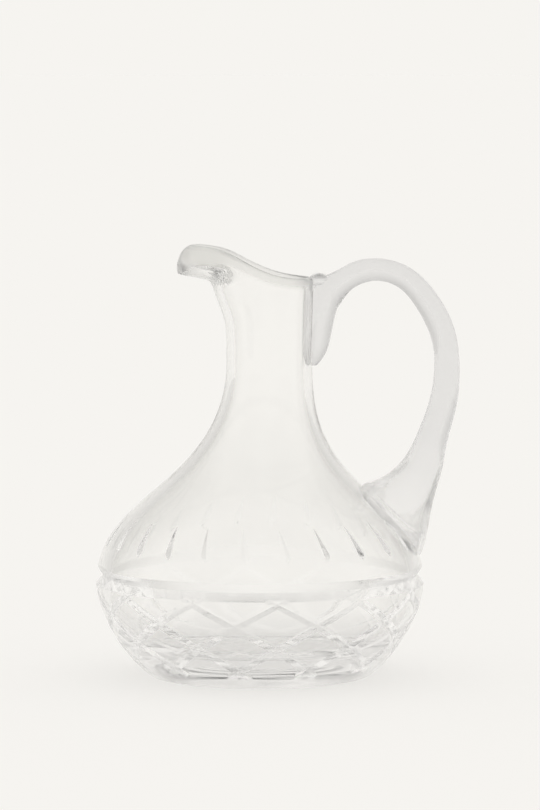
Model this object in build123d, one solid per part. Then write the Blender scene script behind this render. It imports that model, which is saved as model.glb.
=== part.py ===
from build123d import *
import math
import os

# Cut-crystal carafe: a blown and cut glass vessel with a pulled pouring lip,
# and a solid glass handle laid on its shoulder and its mouth while hot.
# Millimetres, +Z up, origin on the table at the middle of the base.
# The pouring lip points to -X and the handle to +X.

# Outside of the bowl
base_radius = 54.5
base_bevel = 0.8
bowl_radius = 82.0
bowl_widest_height = 47.0
belly_run = 18.2
heel_out = 9.3
heel_up = 4.8
shoulder_run = 44.6
neck_run = 64.0

# Outside of the neck, which leans a little towards the handle
neck_radius = 21.45
neck_height = 156.0
neck_lean = 4.7
lean_start_height = 84.0

# Mouth and pouring lip
mouth_low_height = 199.5
mouth_rise = 17.5
mouth_rise_power = 2.5
mouth_flare = 1.0
throat_flare = 6.5
throat_depth = 32.0
lip_reach = 17.2
lip_half_angle = 26.0
lip_underside_drop = 0.7
lip_turn_depth = 6.4
lip_dip = 7.8
lip_dip_half_angle = 10.5
throat_narrowing = 6
channel_short = 1.6
channel_half_angle = 16.5
rim_round = 2.0

# Glass thickness
neck_wall = 4.3
bowl_wall = 7.0
floor_thickness = 11.0
floor_radius = 34.0
inside_widest_drop = 1.0
lip_bed = 4.6

# Mitre ring and the lattice of diamonds below it
ring_height = 50.7
ring_depth = 3.4
ring_half_width = 4.4
diamond_count = 12
diamond_turn = 96.0
ring_to_diamonds = 1.2
diamond_top_height = ring_height - ring_half_width - ring_to_diamonds
diamond_bottom_height = 9.7
mitre_depth = 2.1
mitre_half_width = 2.3
mitre_end_depth = 1.2
mitre_run_on = 3.0
mitre_diamonds = 1.5
cutter_clear = 1.6

# Upright cuts above the ring
flute_count = 24
flute_turn = 99.0
flute_height = 71.0
flute_depth = 1.5
flute_wheel_radius = 42.0
flute_wheel_slope = 1.64
flute_wheel_edge = 5.5
flute_clear_angle = 1.0

# Handle: a round rod of glass with a spread foot and a pressed tail
rod = 12.6
handle_overhang = 17.7
arch_rise = 3.8
foot_top_height = 95.0
foot_bottom_height = 60.0
foot_width = 31.0
foot_bury = 9.0
foot_swell = 3.3
tail_length = 44.0
tail_rise = 11.5
tail_width = 15.0
tail_bury = 3.0
seat_clearance = 0.02
bead_half_length = 5.0
bead_half_width = 7.0
bead_half_height = 3.4
bead_out = 2.25
bead_down = 1.2
rod_spread = 0.3

# How finely the free curves are followed
row_points = 40
outer_shares = [0, 0.12, 0.25, 0.38, 0.5, 0.6, 0.7, 0.78, 0.84, 0.88, 0.905, 0.93, 0.955, 0.98, 1]
inner_shares = [1, 0.985, 0.96, 0.935, 0.905, 0.86, 0.8, 0.7, 0.6, 0.5, 0.38, 0.25, 0.12, 0]
rim_shares = [0.25, 0.5, 0.75]
curve_points = 8
curve_step = 0.001
slope_step = 0.05
join_tolerance = 0.003

# Outline curves of the wall, each rising, as four control points


def outline_curves(bowl_inset, neck_inset, start, widest):
    """The curve from the heel to the widest level, and the curve from there to the neck."""
    bowl = bowl_radius - bowl_inset
    neck = neck_radius - neck_inset
    heel = (base_radius + heel_out, start[1] + (0 if bowl_inset else heel_up))
    low = [start, heel, (bowl, widest - belly_run), (bowl, widest)]
    rise = shoulder_run - bowl_inset / 2
    fall = neck_run + neck_inset / 2
    high = [(bowl, widest), (bowl, widest + rise), (neck, neck_height - fall), (neck, neck_height)]
    return low, high


belly_curve, shoulder_curve = outline_curves(0, 0, (base_radius, 0), bowl_widest_height)
inside_start = (floor_radius, floor_thickness)
inner_belly, inner_shoulder = outline_curves(bowl_wall, neck_wall, inside_start, bowl_widest_height - inside_widest_drop)


def curve_point(points, t):
    """A point of the cubic curve with these four control points."""
    weights = [(1 - t) ** 3, 3 * t * (1 - t) ** 2, 3 * t * t * (1 - t), t ** 3]
    return tuple(sum(w * p[i] for w, p in zip(weights, points)) for i in (0, 1))


def curve_direction(points, t):
    """Direction of the cubic curve at a share of it."""
    ahead = curve_point(points, t + curve_step)
    behind = curve_point(points, t - curve_step)
    return (ahead[0] - behind[0], ahead[1] - behind[1])


def curve_share(points, height):
    """The share of a rising cubic curve at which it reaches a height."""
    low = 0.0
    high = 1.0
    for _ in range(40):
        middle = (low + high) / 2
        if curve_point(points, middle)[1] < height:
            low = middle
        else:
            high = middle
    return (low + high) / 2


def curve_edge(points, height):
    """The cubic curve up to a height, as one smooth edge."""
    share = curve_share(points, height)
    line = [curve_point(points, share * k / curve_points) for k in range(curve_points + 1)]
    return Spline(line, tangents=[curve_direction(points, 2 * curve_step), curve_direction(points, share)])


def smooth(value):
    """A soft step from 0 to 1."""
    value = min(1.0, max(0.0, value))
    return value * value * (3 - 2 * value)


def outer_radius(height):
    """Radius of the uncut bowl and shoulder at a height."""
    curve = belly_curve if height < bowl_widest_height else shoulder_curve
    return curve_point(curve, curve_share(curve, height))[0]


def lean_at(height):
    """How far the axis has moved towards the handle at a height."""
    return neck_lean * smooth((height - lean_start_height) / (neck_height - lean_start_height))


def surface_frame(angle, height):
    """A point on the uncut bowl and its outward normal."""
    rise = outer_radius(height + slope_step) - outer_radius(height - slope_step)
    slope = rise / (2 * slope_step)
    around = math.radians(angle)
    outward = Vector(math.cos(around), math.sin(around), 0)
    point = outward * outer_radius(height) + Vector(0, 0, height)
    return point, (outward - Vector(0, 0, slope)).normalized()


# Neck and mouth: circles that grow a pouring lip on the side of -X


def rim_height(around):
    """Top of the rim; it rises towards the lip and dips at its tip."""
    rise = mouth_rise * math.cos(around / 2) ** (2 * mouth_rise_power)
    dip = lip_dip * math.exp(-((math.degrees(around) / lip_dip_half_angle) ** 2))
    return mouth_low_height + rise - dip


def neck_reach(around, height, inside):
    """Distance of the neck's wall from its axis; around is 0 at the lip."""
    curve = inner_shoulder if inside else shoulder_curve
    bed = lip_bed if inside else 0.0
    circle = curve_point(curve, curve_share(curve, height))[0]
    circle += mouth_flare * smooth((height - neck_height) / (mouth_low_height - neck_height))
    throat = throat_flare * smooth((height - mouth_low_height + throat_depth) / throat_depth)
    wide = math.cos(around / 2) ** throat_narrowing
    turn = mouth_low_height - lip_underside_drop + bed
    reach = lip_reach - channel_short if inside else lip_reach
    lip = reach * smooth((height - turn) / lip_turn_depth + 0.5)
    spread = channel_half_angle if inside else lip_half_angle
    narrow = math.exp(-((math.degrees(around) / spread) ** 2))
    return circle + throat * wide + lip * narrow


def neck_row(share, inside):
    """Points of a closed row of the neck's wall at a share of its height."""
    points = []
    for index in range(row_points):
        turn = 2 * math.pi * index / row_points + math.pi / 2
        around = abs(math.atan2(math.sin(turn), math.cos(turn)))
        rise = rim_height(around) - rim_round - lean_start_height
        height = lean_start_height + rise * share
        reach = neck_reach(around, height, inside)
        x = lean_at(height) - reach * math.cos(turn)
        points.append(Vector(x, -reach * math.sin(turn), height))
    return points


def rim_row(share):
    """Points of a closed row over the rounded rim, outside at 0 and inside at 1."""
    lift = Vector(0, 0, rim_round * math.sin(math.pi * share))
    slide = 0.5 - 0.5 * math.cos(math.pi * share)
    pairs = zip(neck_row(1, False), neck_row(1, True))
    return [outer + (inner - outer) * slide + lift for outer, inner in pairs]


def closed_wire(points):
    """A smooth closed wire through points."""
    return Wire([Edge.make_spline(points, periodic=True)])


def neck_wall_solid():
    """The neck and mouth: one skin, up the outside, over the rim and down the inside."""
    rows = [neck_row(share, False) for share in outer_shares]
    rows += [rim_row(share) for share in rim_shares]
    rows += [neck_row(share, True) for share in inner_shares]
    skin = Shell.make_loft([closed_wire(row) for row in rows])
    loops = [edge for edge in skin.edges() if edge.is_closed]
    inner_loop, outer_loop = sorted(loops, key=lambda edge: edge.length)
    foot = Face(Wire([outer_loop]), [Wire([inner_loop])])
    return Solid(Shell(list(skin.faces()) + [foot]))


# Bowl: turned outside and in, then cut


def bowl_wall_solid():
    """The turned bowl below the leaning neck, with its cavity and thick floor."""
    high_out = curve_edge(shoulder_curve, lean_start_height)
    high_in = curve_edge(inner_shoulder, lean_start_height)
    edge = Line(high_out @ 1, high_in @ 1)
    floor = Line(inner_belly[0], (0, floor_thickness))
    under = Polyline((0, floor_thickness), (0, 0), belly_curve[0])
    outline = Bezier(*belly_curve) + high_out + edge + high_in + Bezier(*inner_belly) + floor + under
    wall = revolve(Plane.XZ * make_face(outline), Axis.Z)
    rest = wall.edges().filter_by(GeomType.CIRCLE).filter_by(lambda e: abs(e.center().Z) < 0.01)
    return chamfer(rest, base_bevel)


def bowl_filled():
    """The uncut bowl as a full solid, for seating the handle on it."""
    high = curve_edge(shoulder_curve, lean_start_height)
    top = high @ 1
    outline = Bezier(*belly_curve) + high + Polyline(top, (0, top.Y), (0, 0), belly_curve[0])
    return revolve(Plane.XZ * make_face(outline), Axis.Z)


def ring_groove():
    """The mitre ring turned into the bowl at its widest."""
    bottom = outer_radius(ring_height) - ring_depth
    out = bottom + ring_depth + cutter_clear
    half = ring_half_width * (ring_depth + cutter_clear) / ring_depth
    corners = [(bottom, ring_height), (out, ring_height - half), (out, ring_height + half)]
    return revolve(Plane.XZ * make_face(Polyline(*corners, corners[0])), Axis.Z)


def mitre_cut(turn, side):
    """One V cut across two rows of diamonds, as a large mitre wheel leaves it."""
    step = 360 / diamond_count
    span = diamond_top_height - diamond_bottom_height
    bottoms = []
    for share, depth in [(0, mitre_end_depth), (0.5, mitre_depth), (1, mitre_end_depth)]:
        point, normal = surface_frame(turn + side * mitre_diamonds * step * share, diamond_top_height - span * share)
        bottoms.append(point - normal * depth)
    first, middle, last = bottoms
    centre = Edge.make_three_point_arc(first, middle, last).arc_center
    axis = (first - centre).cross(last - centre).normalized()
    arc = (first - centre).get_angle(last - centre) + 2 * mitre_run_on
    radius = (first - centre).length
    start = (first - centre).normalized().rotate(Axis((0, 0, 0), axis), -mitre_run_on)
    rise = mitre_depth + cutter_clear
    half = rise * mitre_half_width / mitre_depth
    outline = Polyline((radius, 0), (radius + rise, -half), (radius + rise, half), (radius, 0))
    section = Plane(centre, x_dir=start, z_dir=start.cross(axis)) * make_face(outline)
    return revolve(section, Axis(centre, axis), arc)


def flute_cut(turn):
    """One upright boat-shaped cut above the ring, as a mitre wheel leaves it."""
    point, normal = surface_frame(turn, flute_height)
    around = Vector(-math.sin(math.radians(turn)), math.cos(math.radians(turn)), 0)
    centre = point + normal * (flute_wheel_radius - flute_depth)
    inner = flute_wheel_radius - flute_wheel_edge
    half = flute_wheel_edge * flute_wheel_slope
    outline = Polyline((0, -half), (inner, -half), (flute_wheel_radius, 0), (inner, half), (0, half), (0, -half))
    wheel = revolve(Plane.XZ * make_face(outline), Axis.Z)
    return Plane(centre, x_dir=normal, z_dir=around) * wheel


def make_vessel(neck):
    """The blown and cut vessel, base to rim."""
    step = 360 / diamond_count
    turns = [diamond_turn + k * step for k in range(diamond_count)]
    bowl = bowl_wall_solid() - ring_groove()
    bowl -= [mitre_cut(turn, 1) for turn in turns]
    bowl -= [mitre_cut(turn, -1) for turn in turns]
    cover = math.degrees(math.asin(foot_width / 2 / outer_radius(flute_height)))
    flutes = [flute_turn + k * 360 / flute_count for k in range(flute_count)]
    bowl -= [flute_cut(turn) for turn in flutes if abs((turn + 180) % 360 - 180) > cover + flute_clear_angle]
    wall = max(bowl.solids(), key=lambda solid: solid.volume)
    return wall.fuse(neck, tol=join_tolerance)


# Handle: ovals across a rod that springs from the shoulder and ends on the neck


def side_point(x, z):
    """A point in the upright plane that holds the handle."""
    return Vector(x, 0, z)


# How the foot draws in above its seat: its gap side out and up from the seat's top,
# its outer side out from the bowl and up from the seat's bottom, and its share of the width
foot_steps = [
    (6.0, 2.5, 0.0, 20.0, 0.82),
    (14.5, 7.0, 3.0, 33.0, 0.64),
]


def foot_ovals():
    """Ovals of the spread foot: gap side, outer side and width."""
    top = side_point(outer_radius(foot_top_height), foot_top_height)
    bottom = side_point(outer_radius(foot_bottom_height), foot_bottom_height)
    inward = (top - bottom).cross(Vector(0, 1, 0)).normalized() * foot_bury
    side = bowl_radius + foot_swell
    ovals = [(top + inward, bottom + inward, foot_width), (top, bottom, foot_width)]
    for gap_out, gap_up, outer_out, outer_up, share in foot_steps:
        outer_side = side_point(side + outer_out, foot_bottom_height + outer_up)
        ovals.append((top + side_point(gap_out, gap_up), outer_side, foot_width * share))
    return ovals


# The tail's shares: how far down its length, how far it stands off the neck, how wide it is
tail_steps = [(0.37, 1.0, 0.95), (0.7, 0.76, 0.8), (0.9, 0.5, 0.6), (1.0, 0.2, 0.35)]


def tail_ovals():
    """Ovals of the tail pressed down the neck, tapering to its end."""
    ovals = []
    for down, rise, width in tail_steps:
        height = mouth_low_height - tail_length * down
        wall = lean_at(height) + neck_reach(math.pi, height, False)
        gap_side = side_point(wall + tail_rise * rise, height)
        ovals.append((gap_side, side_point(wall - tail_bury, height), tail_width * width))
    return ovals


# The rod's middle line: across from the neck (0) to its furthest reach (1),
# up from the foot's lower end (0) to the top of the arch (1), and how many rods deep it is
arch_line = [
    (0.834, 0.328, 1.54),
    (0.888, 0.406, 1.26),
    (0.964, 0.52, 1.12),
    (1.0, 0.67, 1.0),
    (0.964, 0.783, 1.0),
    (0.845, 0.892, 0.97),
    (0.685, 0.971, 0.91),
    (0.486, 1.0, 0.9),
    (0.326, 0.987, 0.94),
    (0.217, 0.957, 1.0),
    (0.105, 0.911, 1.3),
]


def arch_ovals(before, after):
    """Ovals of the rod itself, square to its middle line."""
    neck_side = neck_lean + neck_radius
    reach = bowl_radius + handle_overhang - rod / 2 - neck_side
    rise = mouth_low_height + arch_rise - foot_bottom_height
    line = [side_point(neck_side + reach * x, foot_bottom_height + rise * z) for x, z, _ in arch_line]
    chain = [before] + line + [after]
    ovals = []
    for index, (_, _, deep) in enumerate(arch_line):
        along = (chain[index + 2] - chain[index]).normalized()
        across = side_point(along.Z, -along.X) * (rod * deep / 2)
        width = rod * (1 + (deep - 1) * rod_spread)
        ovals.append((line[index] - across, line[index] + across, width))
    return ovals


def oval_wire(gap_side, outer_side, width):
    """One oval, standing square to the plane of the handle."""
    across = outer_side - gap_side
    frame = Plane((gap_side + outer_side) / 2, x_dir=across, z_dir=across.cross(Vector(0, 1, 0)))
    return (frame * Ellipse(across.length / 2, width / 2)).wire()


def neck_filled():
    """The shoulder and neck as a full solid up to the rim, for seating the handle on it."""
    top = mouth_low_height - rim_round - lean_start_height
    heights = [lean_start_height + top * share for share in outer_shares] + [mouth_low_height]
    rings = []
    for height in heights:
        clear = 0 if height == lean_start_height else seat_clearance
        radius = neck_reach(math.pi, height, False) + clear
        rings.append(Wire([Edge.make_circle(radius, Plane((lean_at(height), 0, height)))]))
    return Solid.make_loft(rings)


def make_handle():
    """The handle, with its foot and tail shaped by the glass under them."""
    foot = foot_ovals()
    tail = tail_ovals()
    before = (foot[-1][0] + foot[-1][1]) / 2
    after = (tail[0][0] + tail[0][1]) / 2
    ovals = foot + arch_ovals(before, after) + tail
    rod_solid = Solid.make_loft([oval_wire(*oval) for oval in ovals])
    bead_x = neck_lean + neck_radius + mouth_flare + bead_out
    bead_z = mouth_low_height - bead_down
    bead = scale(Sphere(1), by=(bead_half_length, bead_half_width, bead_half_height))
    handle = rod_solid + Pos(bead_x, 0, bead_z) * bead
    return handle - bowl_filled() - neck_filled()


def checked(name, shape):
    """The one solid of a piece, with its volume printed."""
    solids = shape.solids()
    print(name, "solids", len(solids), "valid", shape.is_valid, "volume", round(shape.volume))
    return max(solids, key=lambda solid: solid.volume)


os.makedirs("parts", exist_ok=True)
mouth = neck_wall_solid()
export_step(checked("vessel", make_vessel(mouth)), "parts/vessel.step")
export_step(checked("handle", make_handle()), "parts/handle.step")
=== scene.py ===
import math
import bmesh
import bpy
import numpy as np
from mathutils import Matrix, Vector


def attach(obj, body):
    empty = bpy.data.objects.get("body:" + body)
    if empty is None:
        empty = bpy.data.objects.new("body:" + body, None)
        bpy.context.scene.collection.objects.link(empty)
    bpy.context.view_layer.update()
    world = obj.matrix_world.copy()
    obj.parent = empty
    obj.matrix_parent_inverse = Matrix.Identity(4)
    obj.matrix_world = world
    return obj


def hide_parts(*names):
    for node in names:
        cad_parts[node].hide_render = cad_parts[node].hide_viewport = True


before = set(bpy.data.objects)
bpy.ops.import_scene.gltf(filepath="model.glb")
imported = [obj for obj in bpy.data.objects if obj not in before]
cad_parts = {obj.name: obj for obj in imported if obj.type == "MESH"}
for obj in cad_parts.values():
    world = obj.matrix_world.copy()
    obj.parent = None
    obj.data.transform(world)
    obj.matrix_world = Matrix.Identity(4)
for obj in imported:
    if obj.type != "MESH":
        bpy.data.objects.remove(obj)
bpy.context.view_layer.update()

# Sizes in millimetres; meshes are made in metres.
mm = 0.001

# Outside of the bowl and the neck
base_radius = 54.5
base_bevel = 0.8
bowl_radius = 82.0
bowl_widest_height = 47.0
belly_run = 18.2
heel_out = 9.3
heel_up = 4.8
shoulder_run = 44.6
neck_run = 64.0
neck_radius = 21.45
neck_height = 156.0
neck_lean = 4.7
lean_start_height = 84.0

# Mouth and pouring lip, whose turn and dip are a little crisper than in the solid
mouth_low_height = 199.5
mouth_rise = 17.05
mouth_rise_power = 2.5
mouth_flare = 1.0
throat_flare = 6.5
throat_depth = 25.6
lip_reach = 17.2
lip_half_angle = 26.0
lip_turn_depth = 4.6
lip_dip = 8.5
lip_dip_half_angle = 8.1
throat_narrowing = 6
channel_short = 1.6
channel_half_angle = 22.0
rim_round = 2.1

# Glass thickness
neck_wall = 4.3
bowl_wall = 7.0
floor_thickness = 11.0
floor_radius = 34.0
lip_bed = 4.6
inside_widest_drop = 1.0

# Cuts: the mitre ring, the lattice of diamonds below it, the flutes above it
ring_height = 50.7
ring_depth = 3.4
ring_half_width = 4.4
cut_turn = 96.0
cut_step = 15.0
diamond_half_height = 11.8
ring_to_diamonds = 1.2
diamond_top_height = ring_height - ring_half_width - ring_to_diamonds
mitre_depth = 2.1
mitre_end_depth = 1.2
mitre_half_share = 0.1
mitre_run_out = 0.3
flute_low_height = 65.5
flute_high_height = 80.5
flute_half_width = 2.6
flute_slope = 0.62
flute_blunt_share = 0.14
flute_columns_on = 2
flute_lean = 1.1
flute_clear_angle = 1.0

# Handle
rod = 12.6
handle_overhang = 17.7
arch_rise = 3.8
foot_top_height = 95.0
foot_bottom_height = 60.0
foot_width = 31.0
foot_bury = 4.0
foot_swell = 3.3
tail_length = 44.0
tail_rise = 11.5
tail_width = 15.0
tail_bury = 3.0
bead_half_length = 5.0
bead_half_width = 7.0
bead_half_height = 3.4
bead_out = 2.25
bead_down = 1.2

rod_spread = 0.3

# How the foot draws in above its seat: its gap side out and up from the seat's top,
# its outer side out from the bowl and up from the seat's bottom, and its share of the width
foot_steps = [
    (6.0, 2.5, 0.0, 20.0, 0.82),
    (14.5, 7.0, 3.0, 33.0, 0.64),
]

# The tail's shares: how far down its length, how far it stands off the neck, how wide it is
tail_steps = [(0.37, 1.0, 0.95), (0.7, 0.76, 0.8), (0.9, 0.5, 0.6), (1.0, 0.2, 0.35)]

# The rod's middle line: across from the neck (0) to its furthest reach (1),
# up from the foot's lower end (0) to the top of the arch (1), and how many rods deep it is
arch_line = [
    (0.834, 0.328, 1.54),
    (0.888, 0.406, 1.26),
    (0.964, 0.52, 1.12),
    (1.0, 0.67, 1.0),
    (0.964, 0.783, 1.0),
    (0.845, 0.892, 0.97),
    (0.685, 0.971, 0.91),
    (0.486, 1.0, 0.9),
    (0.326, 0.987, 0.94),
    (0.217, 0.957, 1.0),
    (0.105, 0.911, 1.3),
]

# How finely the meshes follow the glass
columns = 240
column_step = 360 / columns
columns_per_cut = 10
rows_per_diamond_half = 10
neck_rows = 64
inner_neck_rows = 56
inner_bowl_rows = 26
rim_rows = 8
handle_rings = 190
handle_sides = 56
bead_segments = 40
bead_rings = 24
fine_steps = 420
slope_step = 0.05
weld_distance = 0.0002

# Levels of the bowl's rows outside the lattice
base_ring_radii = (14, 28, 41)
heel_levels = (0.53, 1.7, 3.1, 4.5)
lattice_halves = 3
lattice_rows_above = 0.31
levels_below_flutes = (56.2, 58, 60, 62, 63.6)
flute_levels_from = 64.8
flute_levels_to = 81
flute_level_step = 0.8
levels_above_flutes = (81.6, 82.8)
floor_ring_shares = (0.75, 0.5, 0.25)

# Where the columns draw together for the flutes, and the least room that they keep
gather_height = 57
gather_over = 6
spread_over = 3
least_flute_edge = 0.4


def cubic(points, share, axis):
    """One coordinate of the cubic curve with these four control points."""
    rest = 1 - share
    first, second, third, fourth = (point[axis] for point in points)
    return rest**3 * first + 3 * share * rest**2 * second + 3 * share**2 * rest * third + share**3 * fourth


def share_at(points, height):
    """The share of a rising cubic curve at which it reaches each height."""
    low = np.zeros_like(height)
    high = np.ones_like(height)
    for _ in range(40):
        middle = (low + high) / 2
        below = cubic(points, middle, 1) < height
        low = np.where(below, middle, low)
        high = np.where(below, high, middle)
    return (low + high) / 2


def radius_at(points, height):
    """Radius of a rising cubic curve at each height."""
    height = np.asarray(height, dtype=float)
    return cubic(points, share_at(points, height), 0)


def soft_step(value):
    """A soft step from 0 to 1."""
    value = np.clip(value, 0, 1)
    return value * value * (3 - 2 * value)


def outline_curves(bowl_inset, neck_inset, start, widest):
    """The curve from the heel to the widest level, and the curve from there to the neck."""
    bowl = bowl_radius - bowl_inset
    neck = neck_radius - neck_inset
    heel = (base_radius + heel_out, start[1] + (0 if bowl_inset else heel_up))
    low = [start, heel, (bowl, widest - belly_run), (bowl, widest)]
    rise = shoulder_run - bowl_inset / 2
    fall = neck_run + neck_inset / 2
    high = [(bowl, widest), (bowl, widest + rise), (neck, neck_height - fall), (neck, neck_height)]
    return low, high


belly, shoulder = outline_curves(0, 0, (base_radius, 0), bowl_widest_height)
inner_belly, inner_shoulder = outline_curves(
    bowl_wall, neck_wall, (floor_radius, floor_thickness), bowl_widest_height - inside_widest_drop
)


def outer_radius(height):
    """Radius of the uncut bowl and shoulder at each height."""
    height = np.asarray(height, dtype=float)
    return np.where(height < bowl_widest_height, radius_at(belly, height), radius_at(shoulder, height))


def lean_at(height):
    """How far the axis has moved towards the handle at each height."""
    return neck_lean * soft_step((height - lean_start_height) / (neck_height - lean_start_height))


def rim_height(around):
    """Top of the rim; it rises towards the lip and dips at its tip."""
    rise = mouth_rise * np.cos(around / 2) ** (2 * mouth_rise_power)
    return mouth_low_height + rise - lip_dip * np.exp(-((np.degrees(around) / lip_dip_half_angle) ** 2))


def neck_reach(around, height, inside):
    """Distance of the neck's wall from its axis; around is 0 at the lip."""
    bed = lip_bed if inside else 0.0
    circle = radius_at(inner_shoulder if inside else shoulder, height)
    circle = circle + mouth_flare * soft_step((height - neck_height) / (mouth_low_height - neck_height))
    throat = throat_flare * soft_step((height - mouth_low_height + throat_depth) / throat_depth)
    turn = mouth_low_height + bed
    reach = lip_reach - channel_short if inside else lip_reach
    lip = reach * soft_step((height - turn) / lip_turn_depth + 0.5)
    spread = channel_half_angle if inside else lip_half_angle
    narrow = np.exp(-((np.degrees(around) / spread) ** 2))
    return circle + throat * np.cos(around / 2) ** throat_narrowing + lip * narrow


# The blank: the turned and drawn vessel before cutting, row by row from the middle
# of the base, up the outside, over the rim and down the inside to the floor

even_angles = np.radians(cut_turn + column_step * np.arange(columns))
half_cut = columns_per_cut // 2
from_cut = (np.arange(columns) - flute_columns_on + half_cut - 1) % columns_per_cut - half_cut + 1


def flute_half_width_at(height):
    """Half the width of a flute at a height: blunt below, drawn to a point above."""
    up = (height - flute_low_height) / (flute_high_height - flute_low_height)
    return flute_half_width * np.clip(1 - up, 0, 1) * np.sqrt(np.clip(up / flute_blunt_share, 0, 1))


def bowl_angles(height):
    """Angles of the columns at a height; they draw together along the edges of the flutes."""
    half_width = max(flute_half_width_at(height), least_flute_edge)
    edge = math.degrees(half_width / float(outer_radius(height)))
    count = np.abs(from_cut)
    inside = edge * count / 2
    outside = edge + (cut_step / 2 - edge) * (count - 2) / (columns_per_cut / 2 - 2)
    wanted = np.sign(from_cut) * np.where(count <= 2, inside, outside)
    gathered = soft_step((height - gather_height) / gather_over)
    blend = gathered * soft_step((lean_start_height - height) / spread_over)
    up = (height - flute_low_height) / (flute_high_height - flute_low_height)
    lean = flute_lean * (1 - 2 * np.clip(up, 0, 1))
    return even_angles + np.radians(blend * (wanted - from_cut * column_step + lean))


class Blank:
    """Rows of points, with what the cutting tree has to know at each of them."""

    def __init__(self):
        self.points = []
        self.notes = {name: [] for name in ("turn", "height", "flute_share", "flute_half", "cut")}
        self.outward = []
        self.corners = []

    def add(self, points, outward=None, **notes):
        """Adds points and returns their numbers."""
        first = len(self.points)
        self.points.extend(points)
        self.outward.extend(np.zeros_like(points) if outward is None else outward)
        for name, values in self.notes.items():
            values.extend(np.broadcast_to(notes.get(name, 0.0), len(points)))
        return np.arange(first, first + len(points))

    def bowl_row(self, height, shift=0.0):
        """A row of the uncut bowl at a height."""
        angles = bowl_angles(height) + shift
        radius = float(outer_radius(height))
        rise = outer_radius(height + slope_step) - outer_radius(height - slope_step)
        slope = float(rise) / (2 * slope_step)
        circle = np.column_stack([np.cos(angles), np.sin(angles), np.zeros(columns)])
        outward = (circle - [0, 0, slope]) / math.hypot(1, slope)
        seat_radius = float(outer_radius((foot_top_height + foot_bottom_height) / 2))
        covered = math.degrees(math.asin(foot_width / 2 / seat_radius)) + flute_clear_angle
        cut_angle = (np.degrees(even_angles) - from_cut * column_step + 180) % 360 - 180
        fluted = np.abs(cut_angle) > covered
        return self.add(
            circle * radius + [0, 0, height],
            outward,
            turn=(np.degrees(angles) - cut_turn) / cut_step,
            height=height,
            flute_share=np.clip(1 - np.abs(from_cut) / 2, 0, 1) * fluted,
            flute_half=flute_half_width_at(height),
            cut=1.0,
        )

    def ring(self, radius, height):
        """A plain level ring, as on the base and the floor."""
        level = np.full(columns, height)
        return self.add(np.column_stack([radius * np.cos(even_angles), radius * np.sin(even_angles), level]))

    def band(self, lower, upper):
        """Four-cornered faces between two rows."""
        for first in range(columns):
            second = (first + 1) % columns
            self.corners.append((lower[first], lower[second], upper[second], upper[first]))

    def crossed_band(self, lower, upper, middle):
        """Faces between two rows, split from a point in the middle of each."""
        for first in range(columns):
            second = (first + 1) % columns
            corners = (lower[first], lower[second], upper[second], upper[first])
            for side in range(4):
                self.corners.append((corners[side], corners[(side + 1) % 4], middle[first]))

    def pole(self, row, height, below):
        """Closes a row with a point on the axis."""
        point = self.add(np.array([[0.0, 0.0, height]]))[0]
        for first in range(columns):
            second = (first + 1) % columns
            pair = (row[second], row[first]) if below else (row[first], row[second])
            self.corners.append((point, *pair) if below else (*pair, point))


def neck_line(inside, count):
    """Rows of the neck's wall from the shoulder to the rim, evenly spaced along each column."""
    turn = even_angles - math.pi
    around = np.abs(np.arctan2(np.sin(turn), np.cos(turn)))
    shares = np.linspace(0, 1, fine_steps)[:, None]
    height = lean_start_height + (rim_height(around) - rim_round - lean_start_height) * shares
    reach = neck_reach(np.broadcast_to(around, height.shape), height, inside)
    fine = np.stack([lean_at(height) - reach * np.cos(turn), -reach * np.sin(turn), height], axis=-1)
    steps = np.linalg.norm(np.diff(fine, axis=0), axis=-1)
    length = np.vstack([np.zeros(columns), np.cumsum(steps, axis=0)])
    rows = np.empty((count, columns, 3))
    for column in range(columns):
        wanted = np.linspace(0, length[-1, column], count)
        for axis in range(3):
            rows[:, column, axis] = np.interp(wanted, length[:, column], fine[:, column, axis])
    return rows


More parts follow.
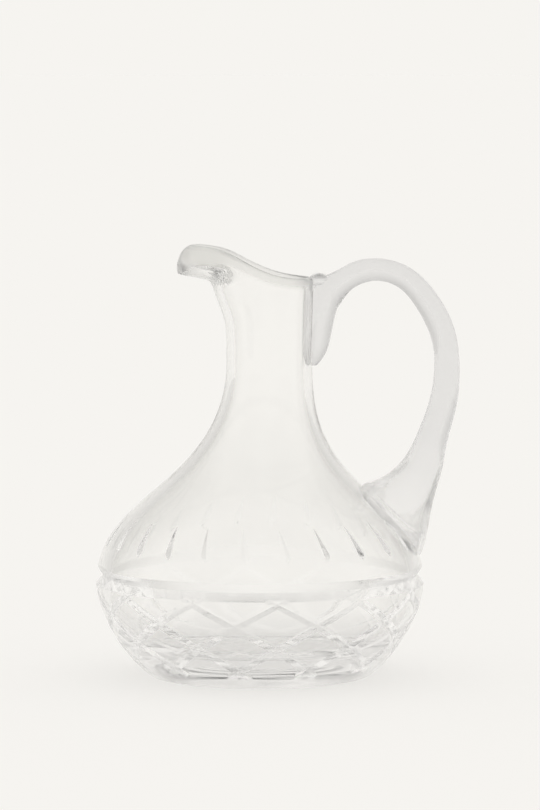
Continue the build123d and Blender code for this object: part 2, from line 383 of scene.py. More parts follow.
def vessel_blank():
    """The mesh of the uncut vessel, with its notes for the cutting tree as attributes."""
    blank = Blank()
    rows = [blank.ring(radius, 0.0) for radius in (*base_ring_radii, base_radius - base_bevel)]
    blank.pole(rows[0], 0.0, below=True)
    for height in heel_levels:
        rows.append(blank.bowl_row(height))
    for lower, upper in zip(rows, rows[1:]):
        blank.band(lower, upper)
    last = rows[-1]
    steps = np.arange(lattice_halves + mitre_run_out, -lattice_rows_above, -1 / rows_per_diamond_half)
    for number, fall in enumerate(steps):
        row = blank.bowl_row(diamond_top_height - fall * diamond_half_height)
        if number == 0:
            blank.band(last, row)
        else:
            middle_height = diamond_top_height - (fall + 0.5 / rows_per_diamond_half) * diamond_half_height
            middle = blank.bowl_row(middle_height, math.radians(column_step / 2))
            blank.crossed_band(last, row, middle)
        last = row
    above = [ring_height, ring_height + ring_half_width / 2, ring_height + ring_half_width]
    above += [*levels_below_flutes, *np.arange(flute_levels_from, flute_levels_to, flute_level_step)]
    above += levels_above_flutes
    for height in above:
        row = blank.bowl_row(height)
        blank.band(last, row)
        last = row
    outer = neck_line(False, neck_rows)
    inner = neck_line(True, inner_neck_rows)[::-1]
    over = []
    for share in np.linspace(0, 1, rim_rows + 1)[1:-1]:
        lift = np.array([0, 0, rim_round * math.sin(math.pi * share)])
        slide = 0.5 - 0.5 * math.cos(math.pi * share)
        over.append(outer[-1] + (inner[0] - outer[-1]) * slide + lift)
    down = []
    inside_widest = bowl_widest_height - inside_widest_drop
    for curve, top in ((inner_shoulder, lean_start_height), (inner_belly, inside_widest)):
        top_share = float(share_at(curve, np.array(top)))
        for share in np.linspace(top_share, 0, inner_bowl_rows // 2 + 1)[1:]:
            down.append((cubic(curve, share, 0), cubic(curve, share, 1)))
    for points in [*outer, *over, *inner]:
        row = blank.add(points)
        blank.band(last, row)
        last = row
    for radius, height in down + [(share * floor_radius, floor_thickness) for share in floor_ring_shares]:
        row = blank.ring(radius, height)
        blank.band(last, row)
        last = row
    blank.pole(last, floor_thickness, below=False)
    mesh = bpy.data.meshes.new("vessel_blank")
    faces = [tuple(map(int, corners)) for corners in blank.corners]
    mesh.from_pydata((np.array(blank.points) * mm).tolist(), [], faces)
    for name in ("height", "flute_half"):
        blank.notes[name] = [value * mm for value in blank.notes[name]]
    for name, values in blank.notes.items():
        note = mesh.attributes.new(name, "FLOAT", "POINT")
        note.data.foreach_set("value", np.array(values, dtype=np.float32))
    outward = np.array(blank.outward, dtype=np.float32).ravel()
    mesh.attributes.new("outward", "FLOAT_VECTOR", "POINT").data.foreach_set("vector", outward)
    return mesh


# Small helpers for node trees


def give(tree, value, socket):
    """Sets a socket to a value, or links another node's output to it."""
    if isinstance(value, bpy.types.NodeSocket):
        tree.links.new(value, socket)
    else:
        socket.default_value = value


def reckon(tree, operation, *values, clamp=False):
    """A Math node."""
    node = tree.nodes.new("ShaderNodeMath")
    node.operation = operation
    node.use_clamp = clamp
    for value, socket in zip(values, node.inputs):
        give(tree, value, socket)
    return node.outputs[0]


def place(tree, kind, settings=None, **values):
    """A node with its settings and, by name, its inputs."""
    node = tree.nodes.new(kind)
    for name, value in (settings or {}).items():
        setattr(node, name, value)
    for name, value in values.items():
        give(tree, value, node.inputs[name.replace("_", " ")])
    return node


def note_of(tree, name, kind="FLOAT"):
    """A named attribute of the mesh in a Geometry Nodes tree."""
    return place(tree, "GeometryNodeInputNamedAttribute", {"data_type": kind}, Name=name).outputs["Attribute"]


def new_tree(name, sizes):
    """A Geometry Nodes tree with a geometry input, named size inputs and a material input."""
    tree = bpy.data.node_groups.new(name, "GeometryNodeTree")
    tree.interface.new_socket("Geometry", in_out="INPUT", socket_type="NodeSocketGeometry")
    tree.interface.new_socket("Geometry", in_out="OUTPUT", socket_type="NodeSocketGeometry")
    for label, kind in sizes:
        tree.interface.new_socket(label, in_out="INPUT", socket_type=kind)
    start = tree.nodes.new("NodeGroupInput").outputs
    end = tree.nodes.new("NodeGroupOutput").inputs[0]
    return tree, start, end


def made_by(tree, mesh, values, name):
    """Runs a tree on a mesh and returns the plain mesh that it makes."""
    piece = bpy.data.objects.new(name, mesh)
    bpy.context.scene.collection.objects.link(piece)
    modifier = piece.modifiers.new("make", "NODES")
    modifier.node_group = tree
    for item in tree.interface.items_tree:
        if item.in_out == "INPUT" and item.name in values:
            modifier[item.identifier] = values[item.name]
    bpy.context.view_layer.update()
    graph = bpy.context.evaluated_depsgraph_get()
    made = piece.evaluated_get(graph)
    result = bpy.data.meshes.new_from_object(made, preserve_all_data_layers=True, depsgraph=graph)
    piece.modifiers.remove(modifier)
    bpy.data.objects.remove(piece)
    result.name = name
    return result


def cutting_tree():
    """Cuts the ring, the lattice of diamonds and the flutes into the blank."""
    names = ["Ring height", "Ring depth", "Ring half width", "Diamond top", "Diamond half height"]
    names += ["Mitre depth", "Mitre end depth", "Mitre half share", "Mitre run out", "Lattice halves"]
    names += ["Flute slope", "Least cut"]
    sizes = [(name, "NodeSocketFloat") for name in names]
    sizes += [("Material", "NodeSocketMaterial"), ("Cut material", "NodeSocketMaterial")]
    tree, start, end = new_tree("cuts of the bowl", sizes)
    turn = note_of(tree, "turn")
    height = note_of(tree, "height")
    drop = reckon(tree, "SUBTRACT", start["Diamond top"], height)
    fall = reckon(tree, "DIVIDE", drop, start["Diamond half height"])
    shallow = []
    for side in ("ADD", "SUBTRACT"):
        line = reckon(tree, "MULTIPLY", reckon(tree, side, turn, fall), 0.5)
        off = reckon(tree, "ABSOLUTE", reckon(tree, "SUBTRACT", line, reckon(tree, "ROUND", line)))
        shallow.append(reckon(tree, "DIVIDE", off, start["Mitre half share"]))
    nearest = reckon(tree, "MINIMUM", *shallow)
    mitre = reckon(tree, "SUBTRACT", 1.0, nearest, clamp=True)
    half_way = reckon(tree, "MULTIPLY", start["Lattice halves"], 0.5)
    middle = reckon(tree, "DIVIDE", reckon(tree, "SUBTRACT", fall, half_way), half_way)
    belly_share = reckon(tree, "SUBTRACT", 1.0, reckon(tree, "MULTIPLY", middle, middle))
    more = reckon(tree, "SUBTRACT", start["Mitre depth"], start["Mitre end depth"])
    depth = reckon(tree, "MULTIPLY_ADD", more, belly_share, start["Mitre end depth"])
    lowest = reckon(tree, "ADD", start["Mitre run out"], start["Lattice halves"])
    low_left = reckon(tree, "SUBTRACT", lowest, fall)
    low_fade = reckon(tree, "DIVIDE", low_left, start["Mitre run out"], clamp=True)
    high_fade = reckon(tree, "MULTIPLY_ADD", fall, 5.0, 3.0, clamp=True)
    fade = reckon(tree, "MULTIPLY", low_fade, high_fade)
    lattice = reckon(tree, "MULTIPLY", reckon(tree, "MULTIPLY", mitre, depth), fade)
    from_ring = reckon(tree, "ABSOLUTE", reckon(tree, "SUBTRACT", height, start["Ring height"]))
    off_ring = reckon(tree, "DIVIDE", from_ring, start["Ring half width"])
    ring_share = reckon(tree, "SUBTRACT", 1.0, off_ring, clamp=True)
    ring = reckon(tree, "MULTIPLY", ring_share, start["Ring depth"])
    flute_depth = reckon(tree, "MULTIPLY", note_of(tree, "flute_half"), start["Flute slope"])
    flute = reckon(tree, "MULTIPLY", note_of(tree, "flute_share"), flute_depth)
    deepest = reckon(tree, "MAXIMUM", reckon(tree, "MAXIMUM", lattice, ring), flute)
    inwards = reckon(tree, "MULTIPLY", reckon(tree, "MULTIPLY", deepest, note_of(tree, "cut")), -1.0)
    move = place(tree, "ShaderNodeVectorMath", {"operation": "SCALE"}, Scale=inwards)
    give(tree, note_of(tree, "outward", "FLOAT_VECTOR"), move.inputs[0])
    stored = {"data_type": "FLOAT", "domain": "POINT"}
    noted = place(tree, "GeometryNodeStoreNamedAttribute", stored, Geometry=start["Geometry"])
    noted.inputs["Name"].default_value = "cut_depth"
    give(tree, reckon(tree, "MULTIPLY", deepest, note_of(tree, "cut")), noted.inputs["Value"])
    cut = place(tree, "GeometryNodeSetPosition", Geometry=noted.outputs[0], Offset=move.outputs[0])
    whole = place(tree, "GeometryNodeRealizeInstances", Geometry=cut.outputs[0])
    dressed = place(tree, "GeometryNodeSetMaterial", Geometry=whole.outputs[0], Material=start["Material"])
    finished = place(tree, "GeometryNodeSetMaterial", Geometry=dressed.outputs[0])
    give(tree, start["Cut material"], finished.inputs["Material"])
    is_cut = reckon(tree, "GREATER_THAN", note_of(tree, "cut_depth"), start["Least cut"])
    give(tree, is_cut, finished.inputs["Selection"])
    give(tree, finished.outputs[0], end)
    return tree


# Handle: ovals across a rod, from the foot on the shoulder to the tail on the neck


def handle_ovals():
    """Each oval's gap side and outer side, as (x, z), and its width."""
    top = np.array([float(outer_radius(foot_top_height)), foot_top_height])
    bottom = np.array([float(outer_radius(foot_bottom_height)), foot_bottom_height])
    down = (bottom - top) / np.linalg.norm(bottom - top)
    inward = np.array([down[1], -down[0]]) * foot_bury
    side = bowl_radius + foot_swell
    ovals = [(top + inward, bottom + inward, foot_width), (top, bottom, foot_width)]
    for gap_out, gap_up, outer_out, outer_up, share in foot_steps:
        outer_side = np.array([side + outer_out, foot_bottom_height + outer_up])
        ovals.append((top + (gap_out, gap_up), outer_side, share * foot_width))
    tail = []
    for down_share, rise, width in tail_steps:
        height = mouth_low_height - tail_length * down_share
        wall = float(lean_at(height) + neck_reach(math.pi, np.array(height), False))
        gap_side = np.array([wall + tail_rise * rise, height])
        tail.append((gap_side, np.array([wall - tail_bury, height]), tail_width * width))
    neck_side = neck_lean + neck_radius
    reach = bowl_radius + handle_overhang - rod / 2 - neck_side
    rise = mouth_low_height + arch_rise - foot_bottom_height
    line = [np.array([neck_side + reach * x, foot_bottom_height + rise * z]) for x, z, _ in arch_line]
    chain = [(ovals[-1][0] + ovals[-1][1]) / 2] + line + [(tail[0][0] + tail[0][1]) / 2]
    for number, (_, _, deep) in enumerate(arch_line):
        along = chain[number + 2] - chain[number]
        along = along / np.linalg.norm(along)
        across = np.array([along[1], -along[0]]) * (rod * deep / 2)
        width = rod * (1 + (deep - 1) * rod_spread)
        ovals.append((line[number] - across, line[number] + across, width))
    return ovals + tail


def fair_curve(knots, values, wanted):
    """A natural cubic spline through values at the knots."""
    gaps = np.diff(knots)
    slopes = np.diff(values, axis=0) / gaps[:, None]
    count = len(knots)
    system = np.eye(count)
    sides = np.zeros_like(values)
    for row in range(1, count - 1):
        system[row, row - 1 : row + 2] = gaps[row - 1], 2 * (gaps[row - 1] + gaps[row]), gaps[row]
        sides[row] = 6 * (slopes[row] - slopes[row - 1])
    bend = np.linalg.solve(system, sides)
    spans = np.clip(np.searchsorted(knots, wanted) - 1, 0, count - 2)
    gap = gaps[spans][:, None]
    ahead = knots[spans + 1][:, None] - wanted[:, None]
    behind = wanted[:, None] - knots[spans][:, None]
    curved = (bend[spans] * ahead**3 + bend[spans + 1] * behind**3) / (6 * gap)
    level = (values[spans] / gap - bend[spans] * gap / 6) * ahead
    return curved + level + (values[spans + 1] / gap - bend[spans + 1] * gap / 6) * behind


def handle_spine():
    """The rod's middle line as a mesh, with each oval's half depth and half width."""
    ovals = handle_ovals()
    table = np.array([[*(gap + out) / 2, *(out - gap) / 2, width / 2] for gap, out, width in ovals])
    steps = np.linalg.norm(np.diff(table[:, :2], axis=0), axis=1)
    knots = np.concatenate([[0], np.cumsum(steps)])
    spine = fair_curve(knots, table, np.linspace(0, knots[-1], handle_rings)) * mm
    centre = np.column_stack([spine[:, 0], np.zeros(handle_rings), spine[:, 1]])
    mesh = bpy.data.meshes.new("handle_spine")
    mesh.from_pydata(centre.tolist(), [(n, n + 1) for n in range(handle_rings - 1)], [])
    half_depth = np.column_stack([spine[:, 2], np.zeros(handle_rings), spine[:, 3]])
    for name, places in (("half_depth", half_depth), ("middle", centre)):
        note = mesh.attributes.new(name, "FLOAT_VECTOR", "POINT")
        note.data.foreach_set("vector", places.astype(np.float32).ravel())
    note = mesh.attributes.new("half_width", "FLOAT", "POINT")
    note.data.foreach_set("value", spine[:, 4].astype(np.float32))
    return mesh


def drawing_tree():
    """Draws the handle's rod along its spine and sets the bead at its upper end."""
    sizes = [("Sides", "NodeSocketInt"), ("Bead segments", "NodeSocketInt"), ("Bead rings", "NodeSocketInt")]
    sizes += [("Bead middle", "NodeSocketVector"), ("Bead half sizes", "NodeSocketVector")]
    tree, start, end = new_tree("drawn handle", sizes + [("Material", "NodeSocketMaterial")])
    line = place(tree, "GeometryNodeMeshToCurve", Mesh=start["Geometry"])
    circle = place(tree, "GeometryNodeCurvePrimitiveCircle", Resolution=start["Sides"], Radius=1.0)
    stored = {"data_type": "FLOAT_VECTOR", "domain": "POINT"}
    circle_note = place(tree, "GeometryNodeStoreNamedAttribute", stored, Geometry=circle.outputs[0])
    circle_note.inputs["Name"].default_value = "round"
    give(tree, place(tree, "GeometryNodeInputPosition").outputs[0], circle_note.inputs["Value"])
    swept = place(tree, "GeometryNodeCurveToMesh", Curve=line.outputs[0])
    give(tree, circle_note.outputs[0], swept.inputs["Profile Curve"])
    swept.inputs["Fill Caps"].default_value = True
    split = place(tree, "ShaderNodeSeparateXYZ", Vector=note_of(tree, "round", "FLOAT_VECTOR"))
    across = place(tree, "ShaderNodeVectorMath", {"operation": "SCALE"}, Scale=split.outputs[0])
    give(tree, note_of(tree, "half_depth", "FLOAT_VECTOR"), across.inputs[0])
    sideways = place(tree, "ShaderNodeCombineXYZ")
    give(tree, reckon(tree, "MULTIPLY", split.outputs[1], note_of(tree, "half_width")), sideways.inputs[1])
    spot = note_of(tree, "middle", "FLOAT_VECTOR")
    for part in (across.outputs[0], sideways.outputs[0]):
        added = place(tree, "ShaderNodeVectorMath", {"operation": "ADD"})
        give(tree, spot, added.inputs[0])
        give(tree, part, added.inputs[1])
        spot = added.outputs[0]
    oval = place(tree, "GeometryNodeSetPosition", Geometry=swept.outputs[0], Position=spot)
    ball = place(tree, "GeometryNodeMeshUVSphere", Radius=1.0)
    give(tree, start["Bead segments"], ball.inputs["Segments"])
    give(tree, start["Bead rings"], ball.inputs["Rings"])
    bead = place(tree, "GeometryNodeTransform", Geometry=ball.outputs[0])
    give(tree, start["Bead middle"], bead.inputs["Translation"])
    give(tree, start["Bead half sizes"], bead.inputs["Scale"])
    joined = place(tree, "GeometryNodeMeshBoolean", {"operation": "UNION", "solver": "EXACT"})
    give(tree, bead.outputs[0], joined.inputs["Mesh 2"])
    give(tree, oval.outputs[0], joined.inputs["Mesh 2"])
    whole = place(tree, "GeometryNodeRealizeInstances", Geometry=joined.outputs[0])
    dressed = place(tree, "GeometryNodeSetMaterial", Geometry=whole.outputs[0], Material=start["Material"])
    give(tree, dressed.outputs[0], end)
    return tree


def seating_tree(operation):
    """Joins or cuts with another piece, and notes which faces came from it."""
    tree, start, end = new_tree("seat " + operation.lower(), [("Other piece", "NodeSocketObject")])
    other = place(tree, "GeometryNodeObjectInfo", Object=start["Other piece"]).outputs["Geometry"]
    noted = []
    for geometry, value in ((start["Geometry"], False), (other, True)):
        settings = {"data_type": "BOOLEAN", "domain": "FACE"}
        note = place(tree, "GeometryNodeStoreNamedAttribute", settings, Geometry=geometry, Name="from_other")
        note.inputs["Value"].default_value = value
        noted.append(note.outputs[0])
    joined = place(tree, "GeometryNodeMeshBoolean", {"operation": operation, "solver": "EXACT"})
    if operation == "UNION":
        for geometry in reversed(noted):
            give(tree, geometry, joined.inputs["Mesh 2"])
    else:
        give(tree, noted[0], joined.inputs["Mesh 1"])
        give(tree, noted[1], joined.inputs["Mesh 2"])
    whole = place(tree, "GeometryNodeRealizeInstances", Geometry=joined.outputs[0])
    give(tree, whole.outputs[0], end)
    return tree


def faces_of(mesh, from_other, joint_glass):
    """Corner places and materials of a mesh's faces that came from one side of a join."""
    flags = np.empty(len(mesh.polygons), dtype=bool)
    mesh.attributes["from_other"].data.foreach_get("value", flags)
    faces = []
    for number in np.flatnonzero(flags == from_other):
        face = mesh.polygons[number]
        glass = joint_glass if from_other else mesh.materials[face.material_index]
        faces.append(([tuple(mesh.vertices[v].co) for v in face.vertices], glass))
    return faces


def seated(vessel_mesh, handle_mesh, joint_glass):
    """Both pieces with the same faces where they are fused, those faces in the joint's glass."""
    vessel_piece = bpy.data.objects.new("vessel_for_joint", vessel_mesh)
    handle_piece = bpy.data.objects.new("handle_for_joint", handle_mesh)
    joined = made_by(seating_tree("UNION"), vessel_mesh, {"Other piece": handle_piece}, "joined")
    trimmed = made_by(seating_tree("DIFFERENCE"), handle_mesh, {"Other piece": vessel_piece}, "trimmed")
    joint = faces_of(trimmed, True, joint_glass)
    results = []
    for name, source, turned in (("vessel", joined, True), ("handle", trimmed, False)):
        own = faces_of(source, False, joint_glass)
        glasses = []
        solid = bmesh.new()
        for faces, backwards in ((own, False), (joint, turned)):
            for corners, glass in faces:
                if glass not in glasses:
                    glasses.append(glass)
                round_way = reversed(corners) if backwards else corners
                points = [solid.verts.new(corner) for corner in round_way]
                solid.faces.new(points).material_index = glasses.index(glass)
        bmesh.ops.remove_doubles(solid, verts=solid.verts, dist=weld_distance * mm)
        open_edges = sum(1 for edge in solid.edges if len(edge.link_faces) != 2)
        volume = round(solid.calc_volume() / mm**3)
        print(name, "faces", len(solid.faces), "open edges", open_edges, "mm3", volume)
        mesh = bpy.data.meshes.new(name + "_crystal")
        solid.to_mesh(mesh)
        solid.free()
        for glass in glasses:
            mesh.materials.append(glass)
        results.append(mesh)
    for piece in (vessel_piece, handle_piece):
        bpy.data.objects.remove(piece)
    return results


# Finishes: tints, painted shade, painted rainbow glints, roughness and where they begin and end

clear_tint = (1.0, 1.0, 1.0)
blown_tint = (0.995, 0.995, 0.99)
# Painted shade: the vessel's glass greys where it is seen edge on
blown_edge_shade = (0.8, 0.8, 0.79)
blown_refraction = 1.5
blown_roughness = 0.06
blown_wave_height = 0.05
# Strength of the painted rainbow glints along the vessel's foot
blown_prism = 0.35
rim_band = 6.0
rim_band_begins = 0.6
# Painted shade: grey over the rim band
rim_shade = (0.9, 0.9, 0.89)
rim_roughness = 0.3
soft_lip_half_angle = 40
soft_lip_share = 0.75
# Painted shade: the lower bowl darkens a little, fully below the first height and fading out up to the second
low_bowl_shade = (0.92, 0.92, 0.92)
low_bowl_shade_from = 20.0
low_bowl_shade_to = 42.0
fused_refraction = 1.0
cut_refraction = 1.12
cut_roughness = 0.22
# Strength of the painted rainbow glints on the cut faces
cut_prism = 0.25
least_cut = 0.03
# Painted shade: the handle's clear glass greyed, and greyer where it is seen edge on
drawn_shade = (0.84, 0.84, 0.845)
drawn_edge_shade = (0.79, 0.79, 0.8)
drawn_refraction = 1.52
drawn_roughness = 0.15
drawn_wave_height = 0.08
# Painted shade, lighter towards the handle's foot: full below the first height, fading out up to the second
handle_foot_shade = (0.95, 0.95, 0.95)
handle_foot_shade_from = 80.0
handle_foot_shade_to = 120.0
# Where the painted edge shade begins and where it is full, by how edge on the glass is seen
edge_begins = 0.3
edge_full = 0.85
passing_light = (0.96, 0.96, 0.96, 1)
wave_bump = 1.0
vessel_crease = 14
handle_crease = 24


def new_group(name, sizes, result, kind):
    """A shader node group with named number inputs and one output."""
    group = bpy.data.node_groups.new(name, "ShaderNodeTree")
    for label, value in sizes.items():
        socket = group.interface.new_socket(label, in_out="INPUT", socket_type="NodeSocketFloat")
        socket.default_value = value
    group.interface.new_socket(result, in_out="OUTPUT", socket_type=kind)
    start = group.nodes.new("NodeGroupInput").outputs
    end = group.nodes.new("NodeGroupOutput").inputs[0]
    return group, start, end


def wavy_glass_group():
    """Slow waves that drawing and fire-polishing leave in a glass surface, as a height."""
    sizes = {"Waves per metre": 60.0, "Upright stretch": 0.35, "Wave height": 1.0}
    group, start, end = new_group("drawn glass waves", sizes, "Height", "NodeSocketFloat")
    where = place(group, "ShaderNodeTexCoord").outputs["Object"]
    stretch = place(group, "ShaderNodeCombineXYZ", X=1.0, Y=1.0, Z=start["Upright stretch"])
    squeezed = place(group, "ShaderNodeVectorMath", {"operation": "MULTIPLY"})
    give(group, where, squeezed.inputs[0])
    give(group, stretch.outputs[0], squeezed.inputs[1])
    noise = place(group, "ShaderNodeTexNoise", Vector=squeezed.outputs[0], Detail=1.0)
    give(group, start["Waves per metre"], noise.inputs["Scale"])
    give(group, reckon(group, "MULTIPLY", noise.outputs[0], start["Wave height"]), end)
    return group


def prism_glints_group():
    """Rainbow patches of painted light that show along the bevelled foot of the vessel, as a colour."""
    sizes = {
        "Band top": 0.008,
        "Band inside": 0.049,
        "Patches per metre": 90.0,
        "Patch contrast": 6.0,
        "Patch level": -2.4,
        "Colour turns per metre": 18.1,
        "First colour": 4.04,
        "Strength": 0.45,
    }
    group, start, end = new_group("painted prism glints", sizes, "Color", "NodeSocketColor")
    where = place(group, "ShaderNodeTexCoord").outputs["Object"]
    parts = place(group, "ShaderNodeSeparateXYZ", Vector=where).outputs
    up = reckon(group, "DIVIDE", parts[2], start["Band top"])
    low = reckon(group, "SUBTRACT", 1.0, up, clamp=True)
    noise = place(group, "ShaderNodeTexNoise", Vector=where, Detail=1.0)
    give(group, start["Patches per metre"], noise.inputs["Scale"])
    contrast = start["Patch contrast"]
    patches = reckon(group, "MULTIPLY_ADD", noise.outputs[0], contrast, start["Patch level"], clamp=True)
    level = place(group, "ShaderNodeCombineXYZ", X=parts[0], Y=parts[1])
    out = place(group, "ShaderNodeVectorMath", {"operation": "LENGTH"})
    give(group, level.outputs[0], out.inputs[0])
    outside = reckon(group, "GREATER_THAN", out.outputs["Value"], start["Band inside"])
    band = reckon(group, "MULTIPLY", low, outside)
    share = reckon(group, "MULTIPLY", reckon(group, "MULTIPLY", band, patches), start["Strength"])
    turns = reckon(group, "MULTIPLY_ADD", parts[0], start["Colour turns per metre"], start["First colour"])
    hue = reckon(group, "FRACT", turns)
    colour = place(group, "ShaderNodeCombineColor", {"mode": "HSV"}, Red=hue, Green=share, Blue=1.0)
    give(group, colour.outputs[0], end)
    return group


def mixed(tree, share, first, second, blend="MIX"):
    """Two colours mixed by a share."""
    node = place(tree, "ShaderNodeMix", {"data_type": "RGBA", "blend_type": blend})
    give(tree, share, node.inputs[0])
    for value, socket in ((first, node.inputs[6]), (second, node.inputs[7])):
        give(tree, (*value, 1) if isinstance(value, tuple) else value, socket)
    return node.outputs[2]


def crystal(name, tint, edge_shade, refraction, roughness=0.0, wave_height=0.0, prism=0.0):
    """A clear glass with painted shade that greys it where it is seen edge on, and that lets light through to
    the floor.
    """
    material = bpy.data.materials.new(name)
    material.use_nodes = True
    tree = material.node_tree
    shader = tree.nodes["Principled BSDF"]
    colour = tint
    # Painted shade: greyer where the glass is seen edge on
    if edge_shade:
        facing = place(tree, "ShaderNodeLayerWeight", Blend=0.5).outputs["Facing"]
        edge = place(tree, "ShaderNodeMapRange", Value=facing, From_Min=edge_begins, From_Max=edge_full)
        colour = mixed(tree, edge.outputs[0], tint, edge_shade)
    # Painted rainbow glints, multiplied into the colour
    if prism:
        group = tree.nodes.new("ShaderNodeGroup")
        group.node_tree = painted_prism_glints
        group.inputs["Strength"].default_value = prism
        colour = mixed(tree, 1.0, colour, group.outputs[0], "MULTIPLY")
    give(tree, (*colour, 1) if isinstance(colour, tuple) else colour, shader.inputs["Base Color"])
    shader.inputs["Metallic"].default_value = 0.0
    shader.inputs["Transmission Weight"].default_value = 1.0
    shader.inputs["IOR"].default_value = refraction
    shader.inputs["Roughness"].default_value = roughness
    if wave_height:
        group = tree.nodes.new("ShaderNodeGroup")
        group.node_tree = waves
        group.inputs["Wave height"].default_value = wave_height
        bump = place(tree, "ShaderNodeBump", Height=group.outputs[0], Strength=1.0, Distance=wave_bump * mm)
        give(tree, bump.outputs[0], shader.inputs["Normal"])
    light = place(tree, "ShaderNodeLightPath")
    passing = reckon(tree, "MAXIMUM", light.outputs["Is Shadow Ray"], light.outputs["Is Diffuse Ray"])
    clear = place(tree, "ShaderNodeBsdfTransparent", Color=passing_light)
    mix = place(tree, "ShaderNodeMixShader")
    give(tree, passing, mix.inputs[0])
    give(tree, shader.outputs[0], mix.inputs[1])
    give(tree, clear.outputs[0], mix.inputs[2])
    give(tree, mix.outputs[0], tree.nodes["Material Output"].inputs["Surface"])
    return material


def base_colour_link(tree):
    """What feeds a crystal's colour: another node's output, or the plain colour."""
    socket = tree.nodes["Principled BSDF"].inputs["Base Color"]
    return socket.links[0].from_socket if socket.is_linked else tuple(socket.default_value)[:3]


def falling_share(tree, value, low, high):
    """A share that falls from 1 at the low value to 0 at the high one."""
    share = place(tree, "ShaderNodeMapRange", Value=value, From_Min=low, From_Max=high)
    share.inputs["To Min"].default_value = 1.0
    share.inputs["To Max"].default_value = 0.0
    return share.outputs[0]


def shade_and_soften_rim(material, band, grey, roughness):
    """Paints grey shade on the fire-polished rim and softens it, from its top down to the width of the band.
    """
    tree = material.node_tree
    shader = tree.nodes["Principled BSDF"]
    below = place(tree, "ShaderNodeAttribute", {"attribute_name": "below_rim"}).outputs["Fac"]
    share = falling_share(tree, below, band * rim_band_begins, band)
    colour = mixed(tree, share, base_colour_link(tree), grey, "MULTIPLY")
    give(tree, colour, shader.inputs["Base Color"])
    plain = shader.inputs["Roughness"].default_value
    give(tree, reckon(tree, "MULTIPLY_ADD", share, roughness - plain, plain), shader.inputs["Roughness"])


def shade_by_height(material, low, high, tint):
    """Painted shade: brings the glass to another tint below a height, with a slow change up to a higher one.
    """
    tree = material.node_tree
    where = place(tree, "ShaderNodeTexCoord").outputs["Object"]
    height = place(tree, "ShaderNodeSeparateXYZ", Vector=where).outputs[2]
    colour = mixed(tree, falling_share(tree, height, low, high), base_colour_link(tree), tint)
    give(tree, colour, tree.nodes["Principled BSDF"].inputs["Base Color"])


# Floor, light and camera; the floor's size and the camera's places are in metres

background = (0.9216, 0.9047, 0.8714, 1)
floor_size = 40
floor_drop = 0.02
dome_low = 0.8
dome_rise = 0.4
dome_behind = 0.35
flag_turns = 4.0
flag_depth = 0.18
flag_low = 0.84
overhead_fall = -0.3
sensor_width = 36.0
lens_length = 213.33
camera_eye = (0.005, -2.3916, 0.336)
camera_aim = (0.005, 0, 0.1355)


def pale_floor():
    """A wide matt floor in the colour of the background."""
    bpy.ops.mesh.primitive_plane_add(size=floor_size, location=(0, 0, -floor_drop * mm))
    floor = bpy.context.object
    floor.name = "pale_floor"
    material = bpy.data.materials.new("matt paper")
    material.use_nodes = True
    shader = material.node_tree.nodes["Principled BSDF"]
    shader.inputs["Base Color"].default_value = background
    shader.inputs["Roughness"].default_value = 1.0
    shader.inputs["Specular IOR Level"].default_value = 0.0
    floor.data.materials.append(material)


def chosen(tree, share, first, second):
    """One of two light shaders, by a share of 0 or 1."""
    mix = place(tree, "ShaderNodeMixShader")
    for value, socket in zip((share, first, second), mix.inputs):
        give(tree, value, socket)
    return mix.outputs[0]


def studio_light():
    """A soft dome that lights the floor, the background, and what the glass mirrors and bends in."""
    world = bpy.data.worlds.new("soft studio")
    bpy.context.scene.world = world
    world.use_nodes = True
    tree = world.node_tree
    tree.nodes.clear()
    direction = place(tree, "ShaderNodeTexCoord").outputs["Generated"]
    parts = place(tree, "ShaderNodeSeparateXYZ", Vector=direction).outputs
    up = reckon(tree, "MAXIMUM", parts[2], 0.0)
    dome = reckon(tree, "MULTIPLY_ADD", reckon(tree, "MULTIPLY", up, up), dome_rise, dome_low)
    dome = reckon(tree, "MULTIPLY_ADD", parts[1], dome_behind, dome)
    dome_light = place(tree, "ShaderNodeBackground", Color=(1, 1, 1, 1), Strength=dome)
    azimuth = reckon(tree, "ARCTAN2", parts[0], parts[1])
    wave = reckon(tree, "COSINE", reckon(tree, "MULTIPLY", azimuth, flag_turns))
    flags = reckon(tree, "MULTIPLY_ADD", wave, 0.5, 0.5)
    level = reckon(tree, "MULTIPLY_ADD", flags, flag_depth, flag_low)
    overhead = reckon(tree, "MULTIPLY_ADD", up, overhead_fall, 1.0)
    around = reckon(tree, "MULTIPLY", level, overhead)
    seen_in_glass = place(tree, "ShaderNodeBackground", Color=background, Strength=around)
    plain = place(tree, "ShaderNodeBackground", Color=background, Strength=1.0)
    light = place(tree, "ShaderNodeLightPath").outputs
    bent = reckon(tree, "MAXIMUM", light["Is Glossy Ray"], light["Is Transmission Ray"])
    unseen = chosen(tree, bent, dome_light.outputs[0], seen_in_glass.outputs[0])
    whole = chosen(tree, light["Is Camera Ray"], unseen, plain.outputs[0])
    output = place(tree, "ShaderNodeOutputWorld")
    give(tree, whole, output.inputs[0])


def photo_camera():
    """The photograph's view: from the front, a little above, from far away."""
    lens = bpy.data.cameras.new("photo_view")
    lens.sensor_width = sensor_width
    lens.lens = lens_length
    lens.clip_end = 100
    camera = bpy.data.objects.new("photo_view", lens)
    bpy.context.scene.collection.objects.link(camera)
    bpy.context.scene.camera = camera
    eye = Vector(camera_eye)
    camera.location = eye
    camera.rotation_euler = (Vector(camera_aim) - eye).to_track_quat("-Z", "Y").to_euler()


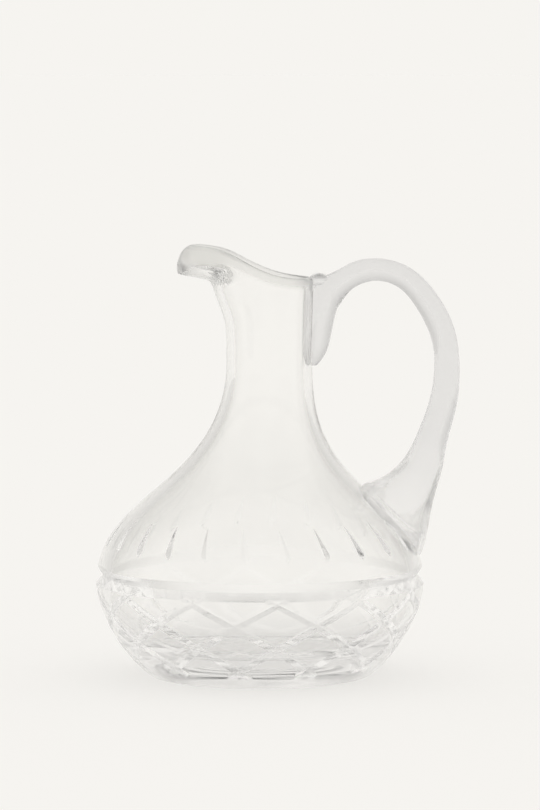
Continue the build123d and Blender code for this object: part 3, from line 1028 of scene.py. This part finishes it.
def note_rim(mesh):
    """Notes how far each point lies below the rim above it, and less of it under the lip."""
    places = np.empty(len(mesh.vertices) * 3, dtype=np.float32)
    mesh.vertices.foreach_get("co", places)
    x, y, z = (places.reshape(-1, 3) / mm).T
    around = np.abs(np.arctan2(y, lean_at(z) - x))
    lip = np.exp(-((np.degrees(around) / soft_lip_half_angle) ** 2))
    below = (rim_height(around) - z) * (1 - soft_lip_share * lip) * mm
    note = mesh.attributes.new("below_rim", "FLOAT", "POINT")
    note.data.foreach_set("value", below.astype(np.float32))


waves = wavy_glass_group()
# Painted rainbow glints, shared by the vessel's glass and the cuts' glass
painted_prism_glints = prism_glints_group()


def blown_crystal():
    """The vessel's own glass, with painted shade: grey at its rim and a little darker low on the bowl."""
    glass = crystal(
        "blown crystal",
        blown_tint,
        blown_edge_shade,
        blown_refraction,
        blown_roughness,
        blown_wave_height,
        blown_prism,
    )
    shade_and_soften_rim(glass, rim_band * mm, rim_shade, rim_roughness)
    shade_by_height(glass, low_bowl_shade_from * mm, low_bowl_shade_to * mm, low_bowl_shade)
    return glass


def drawn_crystal():
    """The handle's glass, greyed with painted shade that is lighter towards its foot."""
    glass = crystal(
        "drawn crystal", drawn_shade, drawn_edge_shade, drawn_refraction, drawn_roughness, drawn_wave_height
    )
    shade_by_height(glass, handle_foot_shade_from * mm, handle_foot_shade_to * mm, handle_foot_shade)
    return glass


def cut_crystal():
    """The glass of the cut faces, bent less and softer than the polished wall."""
    return crystal("mitre cuts", clear_tint, None, cut_refraction, cut_roughness, prism=cut_prism)


def cut_vessel():
    """The vessel's mesh with all its cuts."""
    sizes = {
        "Ring height": ring_height * mm,
        "Ring depth": ring_depth * mm,
        "Ring half width": ring_half_width * mm,
        "Diamond top": diamond_top_height * mm,
        "Diamond half height": diamond_half_height * mm,
        "Mitre depth": mitre_depth * mm,
        "Mitre end depth": mitre_end_depth * mm,
        "Mitre half share": mitre_half_share,
        "Mitre run out": mitre_run_out,
        "Lattice halves": float(lattice_halves),
        "Flute slope": flute_slope,
        "Least cut": least_cut * mm,
        "Material": blown_crystal(),
        "Cut material": cut_crystal(),
    }
    return made_by(cutting_tree(), vessel_blank(), sizes, "cut_vessel")


def drawn_handle():
    """The handle's mesh before it is seated."""
    bead_x = neck_lean + neck_radius + mouth_flare + bead_out
    bead_z = mouth_low_height - bead_down
    sizes = {
        "Sides": handle_sides,
        "Bead segments": bead_segments,
        "Bead rings": bead_rings,
        "Bead middle": (bead_x * mm, 0.0, bead_z * mm),
        "Bead half sizes": (bead_half_length * mm, bead_half_width * mm, bead_half_height * mm),
        "Material": drawn_crystal(),
    }
    return made_by(drawing_tree(), handle_spine(), sizes, "drawn_handle")


fused_glass = crystal("fused glass", clear_tint, None, fused_refraction)
vessel_mesh, handle_mesh = seated(cut_vessel(), drawn_handle(), fused_glass)
note_rim(vessel_mesh)

for mesh, node, crease in ((vessel_mesh, "vessel", vessel_crease), (handle_mesh, "handle", handle_crease)):
    mesh.shade_smooth()
    mesh.set_sharp_from_angle(angle=math.radians(crease))
    piece = bpy.data.objects.new(node + "_crystal", mesh)
    bpy.context.scene.collection.objects.link(piece)
    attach(piece, "root")
    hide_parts(node)

pale_floor()
studio_light()
photo_camera()

scene = bpy.context.scene
scene.view_settings.view_transform = "Standard"
scene.cycles.max_bounces = 32
scene.cycles.transmission_bounces = 28
scene.cycles.glossy_bounces = 16
scene.cycles.transparent_max_bounces = 32
